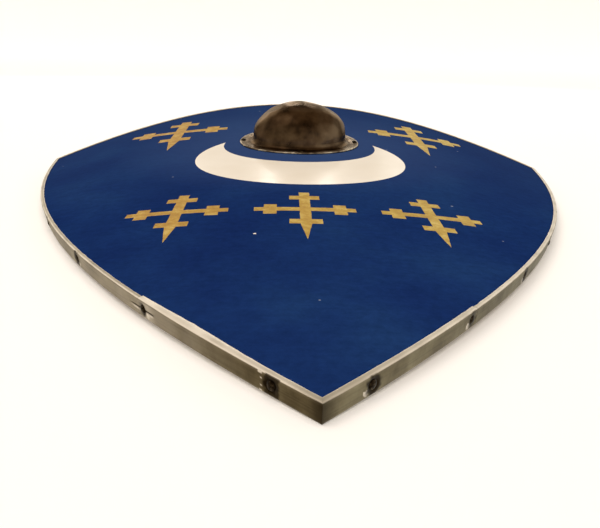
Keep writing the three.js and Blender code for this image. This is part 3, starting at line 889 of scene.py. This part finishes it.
# How far a place on the dome is beaten in where the raising left it flat, and the way out of the dome there
def flatAt(around, down):
    way = Vector((math.sin(down) * math.cos(around), math.sin(down) * math.sin(around), math.cos(down)))
    depth = 0.0
    for flat in bossSizes["flats"]:
        a, b = math.radians(flat["round"]), math.radians(flat["down"])
        middle = Vector((math.sin(b) * math.cos(a), math.sin(b) * math.sin(a), math.cos(b)))
        depth += flat["depth"] * math.exp(-(math.degrees(way.angle(middle)) / flat["reach"]) ** 2)
    return depth, way


def makeBoss():
    profile = bossProfile()
    sides, steps, seed = bossSizes["sides"], bossSizes["domeSteps"], bossSizes["seed"]
    lastPlace = len(profile) - 1
    outerFaceEnd = steps + bossSizes["filletSteps"] + 1
    points, wearAndShine, hammered = [], [], []
    for place, (radius, out, brightened) in enumerate(profile):
        pole = place in (0, lastPlace)
        step = min(place, lastPlace - place)
        for side in range(1 if pole else sides):
            angle = 2 * math.pi * side / sides
            x, y = math.cos(angle), math.sin(angle)
            rough = 0.5 + 0.35 * noiseAt(3 * x, 3 * y, seed) + 0.15 * noiseAt(11 * x, 11 * y, seed)
            share = (radius - bossSizes["unevenFrom"]) / (bossSizes["flangeRadius"] - bossSizes["unevenFrom"])
            reach = radius - bossSizes["rimUnevenness"] * rough * min(1, max(0, share))
            depth, way = flatAt(angle, math.pi / 2 * step / steps) if step < steps else (0.0, (0, 0, 0))
            depth *= min(1, (steps - step) / 8)
            across, along = (0, 0) if pole else (reach * x, reach * y)
            points.append((across - depth * way[0], bossAlong + along - depth * way[1], out - depth * way[2]))
            # Bright patches on the rim: worn bare steel and painted highlight
            patchy = 0.5 + 1.1 * noiseAt(3 * x, 3 * y, seed + 5)
            patchy += 0.9 * noiseAt(radius * x / 4, radius * y / 4, seed)
            wearAndShine.append(brightened * min(1.2, max(0.15, patchy)))
            hammered.append(1.0 if place < outerFaceEnd else 0.0)
    faces = ringFaces(len(profile) - 2, sides, 1)
    last = len(points) - 1
    for side in range(sides):
        after = (side + 1) % sides
        faces.append((0, 1 + after, 1 + side))
        faces.append((last, last - sides + side, last - sides + after))
    traits = {"wearAndShine": wearAndShine, "hammered": hammered}
    boss = makeMesh("steel_boss", onShield(points), faces, [domeSteel], traits=traits)
    applyTree(boss, *hammeredSheetTree(), {"Mark Size": bossSizes["hammerMark"] * mm, "Seed": seed,
                                           "Mark Depth": bossSizes["hammerDepth"] * mm, "Material": domeSteel})
    finishPiece(boss, "boss_steel", 60, "boss")


makeBoss()


# Nails and rivets by Geometry Nodes: a domed, slightly uneven head on a tapering shank at each point

rivetSizes = {
    "circleRadius": 70,
    "headRadius": 3.2,
    "headHeight": 1.7,
    "shankRadius": 1.6,
    "pointRadius": 1.6,
    "unevenness": 0.5,
    "flangeShank": 6,
    "gripShank": 15,
}


fixingMeasures = ("headRadius", "headHeight", "shankRadius", "shankLength", "pointRadius", "unevenness")


def headedFixingTree():
    tree, sockets = newShapeTree("HeadedFixing", {**dict.fromkeys(fixingMeasures, "Float"), "Seed": "Int"})
    add = partial(addNode, tree)
    given = add("NodeGroupInput").outputs
    ball = add("GeometryNodeMeshUVSphere", {"Segments": 24, "Rings": 14, "Radius": 1.0})
    place = add("GeometryNodeInputPosition")
    size = add("CombineXYZ", {"X": given["headRadius"], "Y": given["headRadius"], "Z": given["headHeight"]})
    scaled = add("VectorMath", {0: place, 1: size}, operation="MULTIPLY")
    flat = add("VectorMath", {0: scaled, 1: (-1, -1, 0)}, operation="MAXIMUM")
    head = add("GeometryNodeSetPosition", {"Geometry": ball, "Position": flat})
    taper = add("GeometryNodeMeshCone", {
        "Vertices": 12, "Radius Top": given["shankRadius"], "Radius Bottom": given["pointRadius"],
        "Depth": given["shankLength"]})
    down = add("Math", {0: given["shankLength"], 1: -1.0}, operation="MULTIPLY")
    under = add("CombineXYZ", {"Z": down})
    shank = add("GeometryNodeTransform", {"Geometry": taper, "Translation": under})
    fixing = add("GeometryNodeJoinGeometry", {"Geometry": shank})
    tree.links.new(head.outputs["Geometry"], fixing.inputs["Geometry"])
    facing = add("GeometryNodeInputNamedAttribute", {"Name": "facing"}, data_type="FLOAT_VECTOR")
    aimed = add("FunctionNodeAlignRotationToVector", {"Vector": facing}, axis="Z")
    spin = add("FunctionNodeRandomValue", {
        "Min": (0, 0, 0), "Max": (0, 0, 2 * math.pi), "Seed": given["Seed"]}, data_type="FLOAT_VECTOR")
    turned = add("FunctionNodeRotateRotation", {"Rotation": aimed, "Rotate By": spin}, rotation_space="LOCAL")
    stamped = add("GeometryNodeInstanceOnPoints", {
        "Points": given["Geometry"], "Instance": fixing, "Rotation": turned})
    real = add("GeometryNodeRealizeInstances", {"Geometry": stamped})
    lumpy = add("TexNoise", {"Scale": lumps(4), "Detail": 1.0}).outputs["Color"]
    centred = add("VectorMath", {0: lumpy, 1: (0.5, 0.5, 0.5)}, operation="SUBTRACT")
    offset = add("VectorMath", {0: centred, "Scale": given["unevenness"]}, operation="SCALE")
    uneven = add("GeometryNodeSetPosition", {"Geometry": real, "Offset": offset})
    finished = add("GeometryNodeSetMaterial", {"Geometry": uneven, "Material": given["Material"]})
    add("NodeGroupOutput", {"Geometry": finished})
    return tree, sockets


fixingTree, fixingSockets = headedFixingTree()


# Seats and tips are bent shield points: each fixing faces from its tip to its seat
def makeFixings(name, seats, tips, sizes, nodes, seed):
    seats, tips = toWorld(seats), toWorld(tips)
    ways = seats - tips
    ways /= np.linalg.norm(ways, axis=1)[:, None]
    mesh = bpy.data.meshes.new(name)
    mesh.from_pydata(seats.tolist(), [], [])
    facing = mesh.attributes.new("facing", "FLOAT_VECTOR", "POINT").data
    facing.foreach_set("vector", ways.astype(np.float32).ravel())
    thing = addThing(name, mesh)
    values = {measure: sizes[measure] * mm for measure in fixingMeasures}
    applyTree(thing, fixingTree, fixingSockets, {**values, "Seed": seed, "Material": blackIron})
    thing.data.polygons.foreach_set("use_smooth", [True] * len(thing.data.polygons))
    finishPiece(thing, "fixing_steel", 50, *nodes)


def makeNails():
    rows = [("left", leftPlace, leftRuns), ("right", sidePlace, rightRuns),
            ("top_right", topPlace, topHalf), ("top_left", topPlace, [-run for run in topHalf])]
    seats, tips, nodes = [], [], []
    for row, placeOf, runs in rows:
        for number, run in enumerate(runs, 1):
            seats.append(edgePoint(placeOf(run), -nailSizes["sunk"], channelMiddle))
            tips.append(edgePoint(placeOf(run), -nailSizes["shankLength"], channelMiddle))
            nodes.append(f"nail_{row}_{number}")
    makeFixings("iron_nails", bend(seats), bend(tips), nailSizes, nodes, 4)


def makeRivets():
    circle = rivetSizes["circleRadius"]
    lift = clearance + bossSizes["sheet"]
    gripFront = bend([(circle + gripSizes["overhang"], 0, -boardThickness)])[0, 2] - clearance
    gripBack = gripFront - gripSizes["depth"]
    for name, spots, shank, ends in (
            ("flange_rivets", [(0, -circle), (0, circle)], rivetSizes["flangeShank"], ("front", "rear")),
            ("grip_rivets", [(-circle, 0), (circle, 0)], rivetSizes["gripShank"], ("left", "right"))):
        seats, tips = [], []
        for across, beyond in spots:
            front = bend([(across, bossAlong + beyond, lift)])[0] + (0, 0, 0.1)
            back = front.copy()
            back[2] = gripBack if across else -boardThickness
            seats += [front, back]
            tips += [back, front]
        nodes = ["boss_rivet_" + end for end in ends]
        makeFixings(name, seats, tips, {**rivetSizes, "shankLength": shank}, nodes, 7)


# Grip: an ash bar, fuller in the middle, edges rounded for the hand

gripSizes = {
    "overhang": 11,
    "middleWidth": 30,
    "endWidth": 24,
    "depth": 16,
    "edgeRound": 4.5,
    "endRound": 3,
}


def makeGrip():
    length = 2 * (rivetSizes["circleRadius"] + gripSizes["overhang"])
    half, endRound = length / 2, gripSizes["endRound"]
    front = bend([(half, 0, -boardThickness)])[0, 2] - clearance
    middle = front - gripSizes["depth"] / 2
    stations = [(half, endRound)]
    stations += [(half - endRound * (1 - math.cos(a)), endRound * (1 - math.sin(a)))
                 for a in np.linspace(0.25, math.pi / 2, 5)]
    body = [(x, 0) for x in np.linspace(-half + endRound + 1.5, half - endRound - 1.5, 60)]
    rings = [(-x, inset) for x, inset in stations] + body + stations[::-1]
    points = []
    for x, inset in rings:
        swell = math.cos(math.pi * x / length) ** 2
        wide = (gripSizes["endWidth"] + (gripSizes["middleWidth"] - gripSizes["endWidth"]) * swell) / 2 - inset
        deep = gripSizes["depth"] / 2 - inset
        rounding = gripSizes["edgeRound"] - inset * 0.5
        for cornerY, cornerZ, start in ((1, 1, 0), (-1, 1, 90), (-1, -1, 180), (1, -1, 270)):
            for step in range(7):
                angle = math.radians(start + 15 * step)
                bulge = rounding - abs(0.12 * noiseAt(x / 9, step, start / 40))
                points.append((x, bossAlong + cornerY * (wide - rounding) + bulge * math.cos(angle),
                               middle + cornerZ * (deep - rounding) + bulge * math.sin(angle)))
    count = len(points) // len(rings)
    faces = ringFaces(len(rings), count)
    faces.append(tuple(range(count))[::-1])
    faces.append(tuple(range(len(points) - count, len(points))))
    grip = makeMesh("ash_grip", toWorld(points), faces, [ash])
    finishPiece(grip, "grip_wood", 50, "grip")


makeNails()
makeRivets()
makeGrip()


# Floor, light and camera

# Metres here
studioSizes = {
    "floorFront": 5.0,
    "floorBack": 6.0,
    "sweepRadius": 3.0,
    "wallHeight": 7.0,
    "halfWidth": 16.0,
    "daylight": 2.45,
    "glow": 0.1,
    "lampTarget": (0, 0.05, 0.08),
}

cameraSizes = {
    "across": -20.4,
    "along": -261.3,
    "height": 180.4,
    "yaw": 1.75,
    "pitch": 22.54,
    "roll": 1.57,
    "lens": 40.12,
}


# A pale floor that sweeps up into a wall behind, so that no line shows
def makeSweep():
    wide, radius, back = studioSizes["halfWidth"], studioSizes["sweepRadius"], studioSizes["floorBack"]
    section = [(-studioSizes["floorFront"], 0)]
    for angle in np.linspace(0, math.pi / 2, 25):
        section.append((back + radius * math.sin(angle), radius * (1 - math.cos(angle))))
    section.append((back + radius, studioSizes["wallHeight"]))
    points = [(side * wide, y, z) for y, z in section for side in (-1, 1)]
    faces = [(2 * i, 2 * i + 1, 2 * i + 3, 2 * i + 2) for i in range(len(section) - 1)]
    # Pale card that gives off a little light of its own
    material, add = newMaterial("PaleStudioPaper")
    card = add("BsdfPrincipled", {
        "Base Color": colors["paper"], "Roughness": 0.95, "Specular IOR Level": 0.0,
        "Emission Color": (1, 1, 1, 1), "Emission Strength": studioSizes["glow"]})
    add("OutputMaterial", {"Surface": card})
    sweep = makeMesh("studio_sweep", points, faces, [material], closed=False)
    sweep.visible_glossy = False


def addLight(name, kind, power, color):
    light = bpy.data.lights.new(name, kind)
    light.energy = power
    light.color = colors[color][:3]
    return light, addThing(name, light)


def makeLamp(name, place, size, power, color):
    light, lamp = addLight(name, "AREA", power, color)
    light.shape = "RECTANGLE"
    light.size, light.size_y = size
    lamp.location = place
    way = Vector(studioSizes["lampTarget"]) - Vector(place)
    lamp.rotation_euler = way.to_track_quat("-Z", "Y").to_euler()


def makeCamera():
    yaw, pitch, roll = (math.radians(cameraSizes[k]) for k in ("yaw", "pitch", "roll"))
    ahead = Vector((math.sin(yaw) * math.cos(pitch), math.cos(yaw) * math.cos(pitch), -math.sin(pitch)))
    level = Vector((math.cos(yaw), -math.sin(yaw), 0))
    upright = level.cross(ahead)
    right = math.cos(roll) * level + math.sin(roll) * upright
    top = -math.sin(roll) * level + math.cos(roll) * upright
    lens = bpy.data.cameras.new("photo_camera")
    lens.lens = cameraSizes["lens"]
    lens.sensor_width = 36
    lens.clip_start, lens.clip_end = 0.01, 80
    camera = addThing("photo_camera", lens)
    turn = Matrix.Rotation(lean, 3, "X") @ Matrix((right, top, -ahead)).transposed()
    place = toWorld([(cameraSizes["across"], cameraSizes["along"], cameraSizes["height"])])[0]
    camera.matrix_world = Matrix.Translation(Vector(place)) @ turn.to_4x4()
    bpy.context.scene.camera = camera


# Even daylight from above for the colours: it isn't mirrored in the steel, the lamps below are
def makeDaylight():
    light, sun = addLight("daylight", "SUN", studioSizes["daylight"], "sun")
    light.angle = math.radians(75)
    sun.rotation_euler = (math.radians(12), math.radians(-10), 0)
    sun.visible_glossy = False


# What the steel mirrors: a room with light walls, dim overhead and darkest in front on the left
def makeRoom():
    world = bpy.data.worlds.new("studio")
    world.use_nodes = True
    world.node_tree.nodes.clear()
    add = partial(addNode, world.node_tree)
    way = add("TexCoord").outputs["Generated"]
    height = add("SeparateXYZ", {"Vector": way}).outputs["Z"]
    turned = add("VectorMath", {0: way, 1: (0.5, 0.5, 0)}, operation="DOT_PRODUCT")
    shifted = add("Math", {0: turned, 1: 0.5}, operation="ADD")
    low = add("ValToRGB", {
        "Fac": shifted}, [(0.0, "roomFront"), (0.22, "roomNear"), (0.55, "roomMiddle"), (1.0, "roomFar")])
    # Uneven upright patches of light and dark on the walls
    upright = add("Mapping", {"Vector": way, "Scale": (1, 1, 0.2)})
    clutter = add("TexNoise", {"Vector": upright, "Scale": 3.4, "Detail": 1.5})
    patch = add("ValToRGB", {"Fac": clutter}, [(0.40, 0.35), (0.48, 0.9), (0.60, 1.25)])
    room = add("Mix", {"Factor": 0.8, "A": low, "B": patch}, data_type="RGBA", blend_type="MULTIPLY")
    lift = add("MapRange", {"Value": height, "From Min": 0.45, "From Max": 0.8})
    color = add("Mix", {"Factor": lift, "A": room, "B": colors["ceiling"]}, data_type="RGBA")
    # Seen directly, past the end of the floor, the room is one plain pale wall
    direct = add("LightPath").outputs["Is Camera Ray"]
    seen = add("Mix", {"Factor": direct, "A": color, "B": colors["wall"]}, data_type="RGBA")
    glow = add("Background", {"Color": seen, "Strength": 1.0})
    add("OutputWorld", {"Surface": glow})
    bpy.context.scene.world = world


makeSweep()
makeCamera()
makeDaylight()
makeRoom()
makeLamp("overhead_softbox", (-0.7, -0.1, 1.5), (1.2, 1.0), 1.2, "warmLamp")
makeLamp("left_window", (-0.98, 2.25, 0.9), (1.0, 0.9), 2.4, "leftDaylight")
makeLamp("right_window", (0.98, 2.25, 0.9), (1.0, 0.9), 2.6, "rightDaylight")
makeLamp("left_streak", (-0.11, 2.2, 0.75), (0.07, 0.7), 0.8, "streak")
makeLamp("right_streak", (0.20, 2.2, 0.75), (0.07, 0.7), 0.8, "streak")
bpy.context.scene.view_settings.view_transform = "Standard"
print("stage ready")
